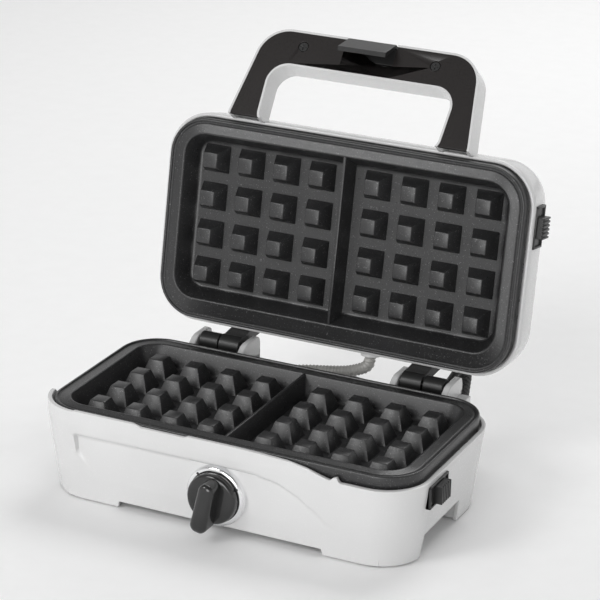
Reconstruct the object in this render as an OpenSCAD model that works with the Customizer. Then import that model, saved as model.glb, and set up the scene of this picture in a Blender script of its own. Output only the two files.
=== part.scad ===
// Electric waffle maker with two square wells, shown standing open.
// The base carries the lower plate, the dial and the hinge; the lid carries the
// upper plate, the handle and its latch. Both plates lift out when their
// release button on the right side is slid forward.

/* [Body] */
// Width of the base at its rim
body_w = 262; // [215:1:320]
// Depth of the base at its rim
body_d = 141; // [116:1:172]
// Height of the base rim above the table
rim_h = 52; // [43:0.5:64]
// How far the base walls lean in between the rim and the table
draft = 6; // [4:0.5:8]
// Radius of the base's upright corners
corner_r = 30; // [24:1:36]
// Wall thickness of the white mouldings
wall = 2.5; // [2:0.1:3]

/* [Plates] */
// Height of the plates' meeting plane above the base rim
plate_rise = 10; // [8:0.5:12]
// Height of the studs in the wells
stud_h = 12; // [9:0.5:14]
// Gap from the studs' tops to the meeting plane
stud_gap = 2; // [1.5:0.25:3]
// Width of a stud at its top
stud_top = 11; // [8:0.5:12]
// Width of a stud at its foot
stud_foot = 19; // [15:0.5:20]
// Gap left between the plates when the lid is shut
close_gap = 0.4; // [0.2:0.1:1]

/* [Lid] */
// Depth of the lid's moulding from its rim to its crown
lid_h = 40; // [32:1:50]
// Angle the lid stands open
lid_open = 100; // [92:1:104]

/* [Handle] */
// Length of the handle from its foot to its end
handle_l = 65; // [56:1:76]
// Upward angle of the handle when the lid is shut
handle_rise = 28; // [20:1:32]
// Thickness of the handle
handle_t = 18; // [15:1:21]
// Width of the handle's cross bar
bar_w = 25.5; // [20:0.5:27]

/* [Dial] */
// Radius of the dial's chrome ring
ring_r = 19.9; // [17:0.1:21]
// Radius of the dial's disc
dial_r = 15.6; // [14:0.2:16]

/* [Cord] */
// Diameter of the mains cord
cord_d = 7; // [6:0.2:8]
// Diameter of the sleeved lead from base to lid
sleeve_d = 8; // [7:0.2:9]

/* [Hidden] */
$fn = 64;

// Base
half_w = body_w / 2;
half_d = body_d / 2;
foot_gap = 1;
side_lift = 0.31 * rim_h;
front_lift = 5;
foot_x = 0.565 * half_w;
front_foot_y = -0.62 * half_d;
rear_foot_y = 0.28 * half_d;
rear_foot_x = 0.61 * half_w;
cover_z = side_lift - 0.5;
cover_t = 2;

// Plates
meet_z = rim_h + plate_rise;
mirror_z = 2 * meet_z + close_gap;
plate_w = body_w - 8;
plate_d = body_d - 8;
plate_r = corner_r - 4;
rear_extra = 3;
land = 10;
divider = 2;
well_w = (plate_w - 2 * land - divider) / 2;
well_d = plate_d - 2 * land;
well_h = stud_h + stud_gap;
well_lean = 3;
pitch_x = well_w * 0.224;
pitch_y = well_d * 0.228;
skirt = 2.5;
plate_t = 3;
pan_z = meet_z - well_h - plate_t;
seat_z = rim_h;

// Trays and heaters
ledge_t = 2.5;
ledge_w = 8;
tray_flange = 1;
tray_wall = 0.8;
tray_gap = 0.6;
tray_r = 12;
ledge_r = tray_r + 2;
tray_w = 2 * (well_w + divider / 2 + plate_t + tray_gap + tray_wall);
tray_d = well_d + 2 * (plate_t + tray_gap + tray_wall);
tray_z = pan_z - 8.5;
heater_r = 3.2;
heater_z = pan_z - heater_r;

// Hinge
hinge_y = half_d + 11.5;
hinge_z = meet_z - 3;
pin_r = 2;
pin_clear = 0.06;
barrel_r = 7;
bracket_r = 6.5;
cheek_in = 0.405 * half_w;
cheek_t = 4.5;
arm_x0 = cheek_in + cheek_t + 1.5;
arm_len = 14.5;
bracket_x0 = arm_x0 + arm_len + 1;
bracket_len = 14;
cheek_out = bracket_x0 + bracket_len + 1;
deck_top = hinge_z - 7.5;
deck_t = 7.5;
deck_back = hinge_y + 16;

// Lid, described shut and then swung open about the hinge
lid_rim_z = meet_z + 7;
lid_y = 1.5;
lid_d = body_d + 1;
lid_back = lid_y + lid_d / 2;
lid_top = lid_rim_z + lid_h;
arm_t = 3.5;
arm_screw_z = lid_rim_z + 13;

// Handle, in its own plane: u runs outwards, w points to the waffle side
handle_drop = 7;
handle_y = lid_y - lid_d / 2 - handle_drop * sin(handle_rise);
handle_z = meet_z + 4 - handle_drop * cos(handle_rise);
loop_out = 0.655 * half_w;
loop_top = 0.607 * half_w;
grip_in = 0.496 * half_w;
loop_r = 22;
grip_r = 13;
grip_top = handle_l - bar_w;
grip_foot = -2.5;
lip = 1.5;
insert_t = 2.5;
pocket_x = 18;
lever_x = 17;
pivot_u = handle_l - 11;
pivot_w = -9;
tongue_l = 14;
latch_pin_r = 1.5;

// Release buttons
button_y = -29;
button_drop = 19;
button_z = meet_z - button_drop;
button_l = 14;
button_h = 11.6;
button_out = half_w + 5.5;
frame_l = 28;
frame_h = 15;
slider_x = half_w - 6.4;
slider_t = 2.2;
spring_x = slider_x - 1;

// Dial
dial_z = 26.5 * rim_h / 52;
panel_y = -(half_d - 4);
ring_t = 4.5;
dial_turn = 12;
shaft_r = 3;

// Cord: it leaves the outlet backwards and a little upwards, drops behind the
// base and lies on the table in a tied coil with its plug beside it
cord_r = cord_d / 2;
outlet = [92, hinge_y + 14, 44];
boot_l = 28;
boot_dir = [-0.2, 0.92, 0.34];
boot_end = outlet + boot_l * boot_dir / norm(boot_dir);
coil_at = [-4, hinge_y + 33];
coil_r = 5.5 * cord_d;
coil_step = 0.96 * cord_d;
coil_z = cord_r + 0.8;
cord_path = [boot_end, [83, hinge_y + 55, 57], [77, hinge_y + 69.5, 54.5],
  [70, hinge_y + 80.5, 45.5], [62, hinge_y + 85.5, 32.5], [53.5, hinge_y + 86, 19],
  [42, hinge_y + 83, 8.5], [27.5, hinge_y + 78, 4.5], [12, hinge_y + 73.5, 4.5],
  [coil_at.x, coil_at.y + coil_r, coil_z]];
tail_top = coil_z + 2 * coil_step;
plug_at = [-66, hinge_y + 14, 6];
tail_path = [[coil_at.x, coil_at.y + coil_r, tail_top],
  [-21.5, hinge_y + 75, 17.5], [-38.5, hinge_y + 79, 15.5], [-55, hinge_y + 74, 11],
  [-64.5, hinge_y + 60, 7], [plug_at.x, plug_at.y + 28, 6]];

// Sleeved lead, from the base's rear wall to the lid's rear wall
sleeve_r = sleeve_d / 2;
gland_t = 2.5;
gland_r = sleeve_r + 2.6;
gland_z = rim_h - 7.5;
gland_x = -38;
lid_gland_x = 27;
lid_gland_up = 17;
rear_wall_y = half_d - draft * (rim_h - gland_z) / rim_h;
lid_wall_y = lid_back - 2.5 * (hinge_z + lid_gland_up - lid_rim_z - 1) / (lid_h - 14);

function swing(y, z) =
  [(y - hinge_y) * cos(lid_open) + (z - hinge_z) * sin(lid_open) + hinge_y,
   -(y - hinge_y) * sin(lid_open) + (z - hinge_z) * cos(lid_open) + hinge_z];
lid_end = swing(lid_wall_y + gland_t + 0.5, hinge_z + lid_gland_up);
lid_lead = swing(lid_wall_y + gland_t + 6, hinge_z + lid_gland_up);
sleeve_path = [[gland_x, rear_wall_y + gland_t, gland_z],
  [gland_x + 1, rear_wall_y + gland_t + 7, gland_z],
  [gland_x + 8, hinge_y + 7, gland_z + 0.5], [-16, hinge_y + 12, gland_z + 2],
  [-2, hinge_y + 14, gland_z + 3.5], [11, hinge_y + 15.5, gland_z + 5.5],
  [21, hinge_y + 16.5, gland_z + 9], [lid_gland_x - 1, lid_lead[0], lid_lead[1] - 0.5],
  [lid_gland_x, lid_end[0], lid_end[1]]];

// The row's origin: middle of the resting box, on the table
grip_front = panel_y - 21.5;
frame_x = (button_out - half_w) / 2;
frame_y = (hinge_y + 81.9 + grip_front) / 2;

white = [0.93, 0.93, 0.92];
black = [0.06, 0.06, 0.06];
cast = [0.16, 0.16, 0.17];
steel = [0.75, 0.75, 0.76];
grey = [0.62, 0.62, 0.6];
brown = [0.2, 0.17, 0.15];

module placed() translate([-frame_x, -frame_y, 0]) children();
module lid_pose() placed() translate([0, hinge_y, hinge_z]) rotate([-lid_open, 0, 0])
  translate([0, -hinge_y, -hinge_z]) children();
module flipped() translate([0, 0, mirror_z]) mirror([0, 0, 1]) children();
module handle_pose() translate([0, handle_y, handle_z])
  rotate([180 - handle_rise, 0, 0]) children();

// Rectangle with rounded corners, centred
module rrect(w, d, r) {
  square([w - 2 * r, d], center = true);
  square([w, d - 2 * r], center = true);
  for (sx = [-1, 1], sy = [-1, 1])
    translate([sx * (w / 2 - r), sy * (d / 2 - r)]) circle(r);
}

module slab(w, d, r, z, h) translate([0, 0, z]) linear_extrude(h) rrect(w, d, r);

module ring_slab(w, d, r, t, z, h) translate([0, 0, z]) linear_extrude(h)
  difference() {
    rrect(w, d, r);
    rrect(w - 2 * t, d - 2 * t, r - t);
  }

// Ledge round the inside of a housing of depth d, on which a plate's tray hangs
module ledge(d, z) difference() {
  slab(body_w - 3, d - 3, corner_r - 1.5, z, ledge_t);
  slab(body_w - 2 * ledge_w, d - 2 * ledge_w, ledge_r, z - 1, ledge_t + 2);
}

// Box from its lowest to its highest corner
module box(a, b) translate(a) cube(b - a);

// Rod along X or Y
module rod_x(x, y, z, r, l) translate([x, y, z]) rotate([0, 90, 0]) cylinder(h = l, r = r);
module rod_y(x, y, z, r, l) translate([x, y, z]) rotate([-90, 0, 0]) cylinder(h = l, r = r);

// Four-sided frustum hanging down from z = 0
module pit(w, d, h, lean) polyhedron(
  points = [for (k = [0, 1]) for (s = [[-1, -1], [1, -1], [1, 1], [-1, 1]])
    [s.x * (w / 2 - k * lean), s.y * (d / 2 - k * lean), -k * h]],
  faces = [[3, 2, 1, 0], [4, 5, 6, 7], [0, 1, 5, 4], [1, 2, 6, 5], [2, 3, 7, 6], [3, 0, 4, 7]]);

function unit(v) = v / norm(v);
function curve_point(a, b, c, d, t) = 0.5 * (2 * b + (c - a) * t
  + (2 * a - 5 * b + 4 * c - d) * t * t + (3 * b - a - 3 * c + d) * t * t * t);
function smooth(p, n) = let (k = len(p) - 1) concat([for (i = [0 : k - 1], j = [0 : n - 1])
  curve_point(i > 0 ? p[i - 1] : 2 * p[0] - p[1], p[i], p[i + 1],
    i < k - 1 ? p[i + 2] : 2 * p[k] - p[k - 1], j / n)], [p[k]]);
function headings(p) = let (k = len(p) - 1)
  [for (i = [0 : k]) unit(p[min(i + 1, k)] - p[max(i - 1, 0)])];
function sides_of(t, n, i) = i == len(t) ? []
  : let (m = unit(n - (n * t[i]) * t[i])) concat([m], sides_of(t, m, i + 1));

// Round tube along a list of points
module tube(p, r, sides) {
  t = headings(p);
  n = sides_of(t, abs(t[0].z) < 0.9 ? [0, 0, 1] : [1, 0, 0], 0);
  k = len(p);
  polyhedron(
    points = [for (i = [0 : k - 1], a = [0 : sides - 1])
      p[i] + r * (cos(360 * a / sides) * n[i] + sin(360 * a / sides) * cross(t[i], n[i]))],
    faces = concat([[for (a = [0 : sides - 1]) a]],
      [[for (a = [0 : sides - 1]) k * sides - 1 - a]],
      [for (i = [0 : k - 2], a = [0 : sides - 1])
        [i * sides + a, (i + 1) * sides + a, (i + 1) * sides + (a + 1) % sides]],
      [for (i = [0 : k - 2], a = [0 : sides - 1])
        [i * sides + a, (i + 1) * sides + (a + 1) % sides, i * sides + (a + 1) % sides]]));
}

// Coil spring standing on z = 0
module spring(r, wire, turns, l) tube([for (i = [0 : turns * 12])
  [r * cos(30 * i), r * sin(30 * i), wire + (l - 2 * wire) * i / (turns * 12)]], wire, 6);

// ---- base ----

module base_outer() hull() {
  slab(body_w, body_d, corner_r, rim_h - 1, 1);
  slab(body_w - 2 * draft, body_d - 2 * draft, corner_r - 3, foot_gap, 1);
}

module base_inner() hull() {
  slab(body_w - 2 * wall, body_d - 2 * wall, corner_r - wall, rim_h, 1);
  slab(body_w - 2 * draft - 2 * wall, body_d - 2 * draft - 2 * wall, corner_r - 3 - wall, 0, 0.5);
}

// Outline of the hollow in the front, as shares of half width and rim height
recess = [[-0.83, 0.89], [-0.74, 0.62], [-0.65, 0.36], [-0.56, 0.17], [-0.55, -0.05],
  [0.63, -0.05], [0.63, 0.38], [0.57, 0.44], [0.5, 0.58], [0.42, 0.72], [0.32, 0.84],
  [0.2, 0.89], [0.05, 0.9]];

// Raised lip along the front: share of half width, and height above the rim
lip_line = [[-0.83, -3], [-0.83, 10], [-0.815, 11], [-0.44, 11], [-0.4, 9.5], [-0.16, 9.5],
  [-0.15, 10.5], [0.05, 10.5], [0.23, 10], [0.37, 9], [0.47, 6.8], [0.54, 4.2], [0.59, 2.6],
  [0.615, 5.2], [0.63, 5.4], [0.645, 2], [0.645, -3]];

module front_prism(y, t, outline) translate([0, y, 0]) rotate([90, 0, 0])
  linear_extrude(t) polygon(outline);

module feet_blocks() for (s = [-1, 1]) {
  difference() {
    box([s > 0 ? foot_x : -half_w, -half_d, foot_gap], [s > 0 ? half_w : -foot_x, front_foot_y, cover_z]);
    box([s > 0 ? foot_x + wall : -half_w + 19, -half_d + 12, 4],
      [s > 0 ? half_w - 19 : -foot_x - wall, front_foot_y - wall, cover_z + 1]);
  }
  difference() {
    box([s > 0 ? rear_foot_x : -half_w, rear_foot_y, foot_gap], [s > 0 ? half_w : -rear_foot_x, half_d, cover_z]);
    box([s > 0 ? rear_foot_x + wall : -half_w + 19, rear_foot_y + wall, 4],
      [s > 0 ? half_w - 19 : -rear_foot_x - wall, half_d - 12, cover_z + 1]);
  }
}

pad_spots = [for (sx = [-1, 1], y = [-half_d + 18, half_d - 18]) [sx * (half_w - 29), y]];
screw_spots = [for (sx = [-1, 1], y = [-0.5 * half_d, 0.16 * half_d]) [sx * (half_w - 13), y]];

module hinge_tower(s) {
  x0 = s > 0 ? cheek_in : -cheek_out - cheek_t;
  x1 = s > 0 ? cheek_out + cheek_t : -cheek_in;
  box([x0, half_d - 3, deck_top - deck_t], [x1, deck_back, deck_top]);
  box([x0, deck_back - 3, deck_top - 1], [x1, deck_back, deck_top + 3.5]);
  for (x = s > 0 ? [cheek_in, cheek_out] : [-cheek_in - cheek_t, -cheek_out - cheek_t])
    translate([x, 0, 0]) rotate([90, 0, 90]) linear_extrude(cheek_t)
      polygon([[half_d + 1, deck_top - deck_t], [deck_back, deck_top - deck_t],
        [deck_back, hinge_z + 1], [deck_back - 4, hinge_z + 4.5],
        [hinge_y - 4, hinge_z + 4.5], [half_d + 1, hinge_z - 3]]);
}

module button_window() {
  box([half_w - 2.4, button_y - frame_l / 2, button_z - frame_h / 2],
    [half_w + 5, button_y + frame_l / 2, button_z + frame_h / 2]);
  box([half_w - 8, button_y - 12, button_z - 4], [half_w + 5, button_y + 5, button_z + 4]);
}

// Post that the button's spring stands against
module spring_post() box([spring_x - 1.8, button_y - 23, button_z - 4.5],
  [half_w, button_y - 21.2, button_z + 4.5]);

// Clearance for the button's slider and the plate's tab, cut from the ledge
module slider_room() box([slider_x - 0.8, button_y - 18.5, button_z - 8],
  [slider_x + slider_t + 0.6, button_y + 14, meet_z]);

module base_housing() color(white) placed() difference() {
  union() {
    difference() {
      base_outer();
      base_inner();
    }
    intersection() {
      base_outer();
      union() {
        feet_blocks();
        box([-0.86 * half_w, panel_y, front_lift], [0.7 * half_w, panel_y + 3, 0.91 * rim_h]);
        spring_post();
      }
    }
    ledge(body_d, seat_z - tray_flange - ledge_t);
    front_prism(-half_d + 3, 3, [for (p = lip_line) [p.x * half_w, rim_h + p.y]]);
    intersection() {
      ring_slab(body_w, body_d, corner_r, wall, rim_h - 3, 13);
      box([-half_w - 1, -half_d - 1, rim_h - 3], [-0.82 * half_w, -0.55 * half_d, rim_h + 11]);
    }
    for (s = [-1, 1]) hinge_tower(s);
    box([outlet.x - 9, half_d - 3, outlet.z - 8], [outlet.x + 9, outlet.y, deck_top]);
    for (p = screw_spots) {
      translate([p.x, p.y, cover_z + cover_t]) cylinder(h = 14, r = 4.5);
      box([p.x > 0 ? p.x : -half_w + 5, p.y - 1.5, cover_z + cover_t],
        [p.x > 0 ? half_w - 5 : p.x, p.y + 1.5, cover_z + cover_t + 14]);
    }
  }
  front_prism(panel_y, 10, [for (p = recess) [p.x * half_w, p.y * rim_h]]);
  box([-foot_x, -half_d - 1, -1], [foot_x, panel_y + 4, front_lift]);
  for (s = [-1, 1]) {
    box([s > 0 ? half_w - 20 : -half_w - 1, front_foot_y, -1],
      [s > 0 ? half_w + 1 : -half_w + 20, rear_foot_y, side_lift]);
    rod_x(s > 0 ? cheek_in - 1 : -cheek_out - cheek_t - 1, hinge_y, hinge_z,
      pin_r + pin_clear, cheek_out - cheek_in + cheek_t + 2);
  }
  box([-rear_foot_x, half_d - 12, -1], [rear_foot_x, half_d + 1, side_lift]);
  rod_y(0, panel_y - 1, dial_z, 4.6, 6);
  rod_y(gland_x, half_d - 12, gland_z, sleeve_r + 1.1, 20);
  rod_y(gland_x, rear_wall_y, gland_z, gland_r + 0.1, 8);
  boot(0.15);
  for (p = pad_spots) translate([p.x, p.y, 0]) cylinder(h = 6, r = 2.55);
  for (p = screw_spots) translate([p.x, p.y, cover_z]) cylinder(h = 14, r = 1.55);
  button_window();
  slider_room();
}

module bottom_cover() color(grey) placed() difference() {
  translate([0, 0.2, cover_z]) linear_extrude(cover_t)
    rrect(body_w - 2 * (draft * (1 - cover_z / rim_h) + wall) - 0.8,
      body_d - 2 * (draft * (1 - cover_z / rim_h) + wall) - 1.6, corner_r - 3 - wall);
  for (x = [-63 : 14 : 63]) box([x - 2, -22, cover_z - 1], [x + 2, 22, cover_z + cover_t + 1]);
  for (p = screw_spots) translate([p.x, p.y, cover_z - 1]) cylinder(h = 4, r = 1.8);
}

module foot_pads() color(black) placed() for (p = pad_spots) translate([p.x, p.y, 0]) {
  cylinder(h = foot_gap, r = 7);
  cylinder(h = 4, r = 2.5);
}

module cover_screws() color(steel) placed() for (p = screw_spots) translate([p.x, p.y, cover_z - 1.3]) {
  difference() {
    cylinder(h = 1.3, r = 3.2);
    box([-2.4, -0.4, -1], [2.4, 0.4, 0.7]);
    box([-0.4, -2.4, -1], [0.4, 2.4, 0.7]);
  }
  cylinder(h = 13, r = 1.5);
}

// ---- plates, trays and heaters, described face up; the lid's are flipped ----

module plate(extra, studs_up) difference() {
  union() {
    translate([0, extra / 2, 0]) {
      slab(plate_w, plate_d + extra, plate_r, meet_z - plate_t, plate_t);
      ring_slab(plate_w, plate_d + extra, plate_r, skirt, seat_z, plate_rise);
    }
    for (s = [-1, 1]) translate([s * (well_w + divider) / 2, 0, pan_z])
      linear_extrude(well_h) rrect(well_w + 2 * plate_t - 2, well_d + 2 * plate_t - 2, 8);
    box([slider_x, button_y + 2.5, button_z - 1], [slider_x + slider_t, button_y + 11, seat_z + 1]);
  }
  for (s = [-1, 1]) translate([s * (well_w + divider) / 2, 0, meet_z]) difference() {
    translate([0, 0, 0.01]) pit(well_w, well_d, well_h, well_lean);
    for (i = [-1.5 : 1.5], j = [-1.5 : 1.5]) translate([i * pitch_x, j * pitch_y, -well_h - 0.5])
      rotate(45) cylinder(h = stud_h + 0.5, r1 = (stud_foot + 0.3) / sqrt(2),
        r2 = stud_top / sqrt(2), $fn = 4);
  }
  box([slider_x - 1, button_y + 2, button_z + 1.7],
    [slider_x + slider_t + 1, button_y + 6, button_z + 5.3]);
}

module tray() difference() {
  union() {
    slab(plate_w, plate_d, plate_r, seat_z - tray_flange, tray_flange);
    slab(tray_w, tray_d, tray_r, tray_z, seat_z - tray_z);
  }
  slab(tray_w - 2 * tray_wall, tray_d - 2 * tray_wall, tray_r - tray_wall, tray_z + tray_wall, seat_z);
  slider_room();
}

// Tubular element bent to a U, with a terminal on each end
module heater() {
  bend = 24;
  x = 0.7 * half_w;
  y0 = -well_d * 0.34;
  y1 = well_d * 0.42;
  for (s = [-1, 1]) {
    rod_y(s * x, y0 + bend, heater_z, heater_r, y1 - y0 - bend);
    rod_y(s * x, y1, heater_z, 1.6, 7);
    translate([s * (x - bend), y0 + bend, heater_z]) rotate(s > 0 ? -90 : 180)
      rotate_extrude(angle = 90) translate([bend, 0]) circle(heater_r);
  }
  rod_x(bend - x, y0, heater_z, heater_r, 2 * (x - bend));
}

module lower_plate() color(cast) placed() plate(0);
module upper_plate() color(cast) lid_pose() flipped() plate(rear_extra);
module lower_tray() color(steel) placed() tray();
module upper_tray() color(steel) lid_pose() flipped() tray();
module lower_heater() color(grey) placed() heater();
module upper_heater() color(grey) lid_pose() flipped() heater();

// ---- release buttons ----

module button_frame() difference() {
  box([half_w - 2.3, button_y - frame_l / 2 + 0.1, button_z - frame_h / 2 + 0.1],
    [half_w + 0.9, button_y + frame_l / 2 - 0.1, button_z + frame_h / 2 - 0.1]);
  box([half_w - 3, button_y - frame_l / 2 + 1.5, button_z - frame_h / 2 + 1.3],
    [half_w + 2, button_y + frame_l / 2 - 1.5, button_z + frame_h / 2 - 1.3]);
}

module button() {
  difference() {
    box([half_w - 1.2, button_y - button_l / 2, button_z - button_h / 2],
      [button_out, button_y + button_l / 2, button_z + button_h / 2]);
    for (k = [-2 : 2]) box([button_out - 1, button_y + 2.6 * k - 0.5, button_z - 7],
      [button_out + 1, button_y + 2.6 * k + 0.5, button_z + 7]);
  }
  box([slider_x, button_y - 6.5, button_z - 3], [half_w, button_y - 0.5, button_z + 3]);
  box([slider_x, button_y - 12.5, button_z - 6], [slider_x + slider_t, button_y + 0.5, button_z + 5]);
  box([slider_x, button_y, button_z + 2], [slider_x + slider_t, button_y + 5, button_z + 5]);
  box([spring_x - 1.4, button_y - 12.5, button_z - 2.5], [slider_x, button_y - 11, button_z + 2.5]);
}

module button_spring() translate([spring_x, button_y - 21, button_z])
  rotate([-90, 0, 0]) spring(1.15, 0.35, 4, 8.3);

module base_button_frame() color(black) placed() button_frame();
module base_button() color(black) placed() button();
module base_button_spring() color(steel) placed() button_spring();
module lid_button_frame() color(black) lid_pose() flipped() button_frame();
module lid_button() color(black) lid_pose() flipped() button();
module lid_button_spring() color(steel) lid_pose() flipped() button_spring();

// ---- dial ----

module dial_ring() color(steel) placed() difference() {
  rod_y(0, panel_y - ring_t, dial_z, ring_r, ring_t);
  rod_y(0, panel_y - ring_t - 1, dial_z, dial_r + 0.5, ring_t + 2);
}

module dial() color(black) placed() difference() {
  union() {
    rod_y(0, panel_y - 10, dial_z, dial_r, 8.5);
    translate([0, panel_y - 9.9, dial_z]) rotate([90, dial_turn, 0])
      linear_extrude(panel_y - grip_front - 9.9) {
        translate([-5.5, -13]) square([11, 28]);
        translate([0, -12]) circle(5.5);
        intersection() {
          translate([-5.5, -19]) square([11, 10]);
          translate([0, -9]) circle(10);
        }
      }
  }
  rod_y(0, panel_y - 9, dial_z, shaft_r + 0.05, 10);
}

module dial_shaft() color(steel) placed() rod_y(0, panel_y - 9, dial_z, shaft_r, 24);

module thermostat() color(grey) placed() difference() {
  union() {
    box([-16, panel_y + 3.2, cover_z + cover_t + 0.6], [16, panel_y + 26, tray_z - 1.2]);
    rod_y(0, panel_y - 1.2, dial_z, 4.3, 10);
  }
  rod_y(0, panel_y - 2, dial_z, shaft_r + 0.06, 18);
}

module terminal_block() color(white) placed() difference() {
  box([48, half_d - 24, cover_z + cover_t], [76, half_d - 13, cover_z + cover_t + 10]);
  for (x = [53, 62, 71]) translate([x, half_d - 18.5, cover_z + cover_t + 3]) cylinder(h = 8, r = 1.6);
}

// ---- hinge ----

module hinge_bracket(s) difference() {
  union() {
    box([s > 0 ? bracket_x0 : -bracket_x0 - bracket_len, half_d + 1, deck_top],
      [s > 0 ? bracket_x0 + bracket_len : -bracket_x0, hinge_y + 8, deck_top + 2]);
    box([s > 0 ? bracket_x0 : -bracket_x0 - bracket_len, hinge_y - 5.5, deck_top],
      [s > 0 ? bracket_x0 + bracket_len : -bracket_x0, hinge_y + 5.5, hinge_z]);
    rod_x(s > 0 ? bracket_x0 : -bracket_x0 - bracket_len, hinge_y, hinge_z, bracket_r, bracket_len);
  }
  rod_x(s > 0 ? bracket_x0 - 1 : -bracket_x0 - bracket_len - 1, hinge_y, hinge_z,
    pin_r + pin_clear, bracket_len + 2);
}

module lid_arm(s) difference() {
  union() {
    rod_x(s > 0 ? arm_x0 : -arm_x0 - arm_len, hinge_y, hinge_z, barrel_r, arm_len);
    translate([s > 0 ? arm_x0 : -arm_x0 - arm_len, 0, 0]) rotate([90, 0, 90])
      linear_extrude(arm_len) polygon([[hinge_y - 6, hinge_z - 1], [lid_back, lid_rim_z + 1],
        [lid_back, lid_rim_z + 19], [lid_back + arm_t, lid_rim_z + 19],
        [hinge_y - 3, hinge_z + 15], [hinge_y + 4, hinge_z + 5]]);
  }
  rod_x(s > 0 ? arm_x0 - 1 : -arm_x0 - arm_len - 1, hinge_y, hinge_z, pin_r + pin_clear, arm_len + 2);
  rod_y(s * (arm_x0 + arm_len / 2), lid_back - 1, arm_screw_z, 1.8, 8);
  rod_y(s * (arm_x0 + arm_len / 2), lid_back + arm_t, arm_screw_z, 3.2, 8);
}

module hinge_bracket_left() color(black) placed() hinge_bracket(-1);
module hinge_bracket_right() color(black) placed() hinge_bracket(1);
module lid_arm_left() color(black) lid_pose() lid_arm(-1);
module lid_arm_right() color(black) lid_pose() lid_arm(1);

module hinge_pins() color(steel) placed() for (s = [-1, 1])
  rod_x(s > 0 ? cheek_in + 0.5 : -cheek_out - cheek_t + 0.5, hinge_y, hinge_z, pin_r,
    cheek_out - cheek_in + cheek_t - 1);

module arm_screws() color(steel) lid_pose() for (s = [-1, 1]) {
  rod_y(s * (arm_x0 + arm_len / 2), lid_back - 7, arm_screw_z, 1.5, 10.6);
  rod_y(s * (arm_x0 + arm_len / 2), lid_back + arm_t, arm_screw_z, 3, 1.4);
}

// ---- lid ----

module lid_solid(t) translate([0, lid_y, 0]) hull() {
  slab(body_w - 2 * t, lid_d - 2 * t, corner_r - t, lid_rim_z - (t > 0 ? 1 : 0), 1);
  slab(body_w - 5 - 2 * t, lid_d - 5 - 2 * t, corner_r - 1 - t, lid_top - 13 - t, 1);
  slab(body_w - 14 - 2 * t, lid_d - 14 - 2 * t, corner_r - 4 - t, lid_top - 5 - t, 1);
  slab(body_w - 36 - 2 * t, lid_d - 36 - 2 * t, corner_r - 12 - t, lid_top - 1 - t, 1);
}

module lid_housing() color(white) lid_pose() difference() {
  union() {
    difference() {
      lid_solid(0);
      lid_solid(wall);
    }
    translate([0, lid_y, 0]) ledge(lid_d, mirror_z - seat_z + tray_flange);
    for (s = [-1, 1]) box([s > 0 ? arm_x0 : -arm_x0 - arm_len, lid_back - 8, lid_rim_z + 8],
      [s > 0 ? arm_x0 + arm_len : -arm_x0, lid_back - 1, lid_rim_z + 18]);
    intersection() {
      lid_solid(0);
      flipped() spring_post();
    }
  }
  flipped() {
    button_window();
    slider_room();
  }
  rod_y(lid_gland_x, lid_back - 10, hinge_z + lid_gland_up, sleeve_r + 1.1, 12);
  rod_y(lid_gland_x, lid_wall_y, hinge_z + lid_gland_up, gland_r + 0.1, 8);
  for (s = [-1, 1]) rod_y(s * (arm_x0 + arm_len / 2), lid_back - 9, arm_screw_z, 1.55, 12);
}

// ---- handle ----

module loop_outline(t) hull() {
  for (s = [-1, 1]) {
    translate([s * (loop_top - loop_r), handle_l - loop_r]) circle(loop_r - t);
    translate([s * (loop_out - 1 - t), 1.5]) square([2, 2], center = true);
  }
}

module grip_outline(t) hull() for (s = [-1, 1]) {
  translate([s * (grip_in - grip_r), grip_top - grip_r]) circle(grip_r + t);
  translate([s * (grip_in - 9), grip_foot + 8]) circle(8 + t);
}

module handle_ring(a, b) difference() {
  loop_outline(a);
  grip_outline(b);
}

module latch_notch(w0, w1) box([-pocket_x, grip_top + lip + 0.5, w0], [pocket_x, handle_l + 2, w1]);

module handle_shell() color(white) lid_pose() difference() {
  handle_pose() difference() {
    union() {
      difference() {
        translate([0, 0, -handle_t]) linear_extrude(handle_t) handle_ring(0, 0);
        translate([0, 0, -insert_t]) linear_extrude(insert_t + 1) handle_ring(lip, lip);
        translate([0, 0, wall - handle_t]) linear_extrude(handle_t) handle_ring(wall, wall);
      }
      for (s = [-1, 1]) {
        box([s > 0 ? pocket_x + 0.5 : -pocket_x - 3.5, pivot_u - 7, wall - handle_t - 0.5],
          [s > 0 ? pocket_x + 3.5 : -pocket_x - 0.5, pivot_u + 7, pivot_w + 4]);
        translate([s * screw_x, screw_u, wall - handle_t - 0.5])
          cylinder(h = handle_t - wall - insert_t + 0.5, r = 4.5);
      }
    }
    latch_notch(-13, 2);
    rod_x(-25, pivot_u, pivot_w, latch_pin_r + 0.05, 50);
    for (s = [-1, 1]) translate([s * screw_x, screw_u, -13]) cylinder(h = 12, r = 1.55);
  }
  lid_solid(0);
}

screw_x = 0.36 * half_w;
screw_u = handle_l - 11;

module handle_insert() color(black) lid_pose() difference() {
  handle_pose() difference() {
    translate([0, 0, -insert_t]) linear_extrude(insert_t) handle_ring(lip + 0.1, lip + 0.1);
    latch_notch(-5, 2);
    for (s = [-1, 1]) translate([s * screw_x, screw_u, 0]) {
      translate([0, 0, -1.2]) cylinder(h = 2, r = 3.6);
      translate([0, 0, -4]) cylinder(h = 6, r = 1.8);
    }
  }
  lid_solid(0);
}

module handle_screws() color(steel) lid_pose() handle_pose() for (s = [-1, 1])
  translate([s * screw_x, screw_u, 0]) difference() {
    union() {
      translate([0, 0, -1.2]) cylinder(h = 0.9, r = 3.2);
      translate([0, 0, -12]) cylinder(h = 11, r = 1.5);
    }
    box([-2.2, -0.4, -0.8], [2.2, 0.4, 1]);
    box([-0.4, -2.2, -0.8], [0.4, 2.2, 1]);
  }

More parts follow.
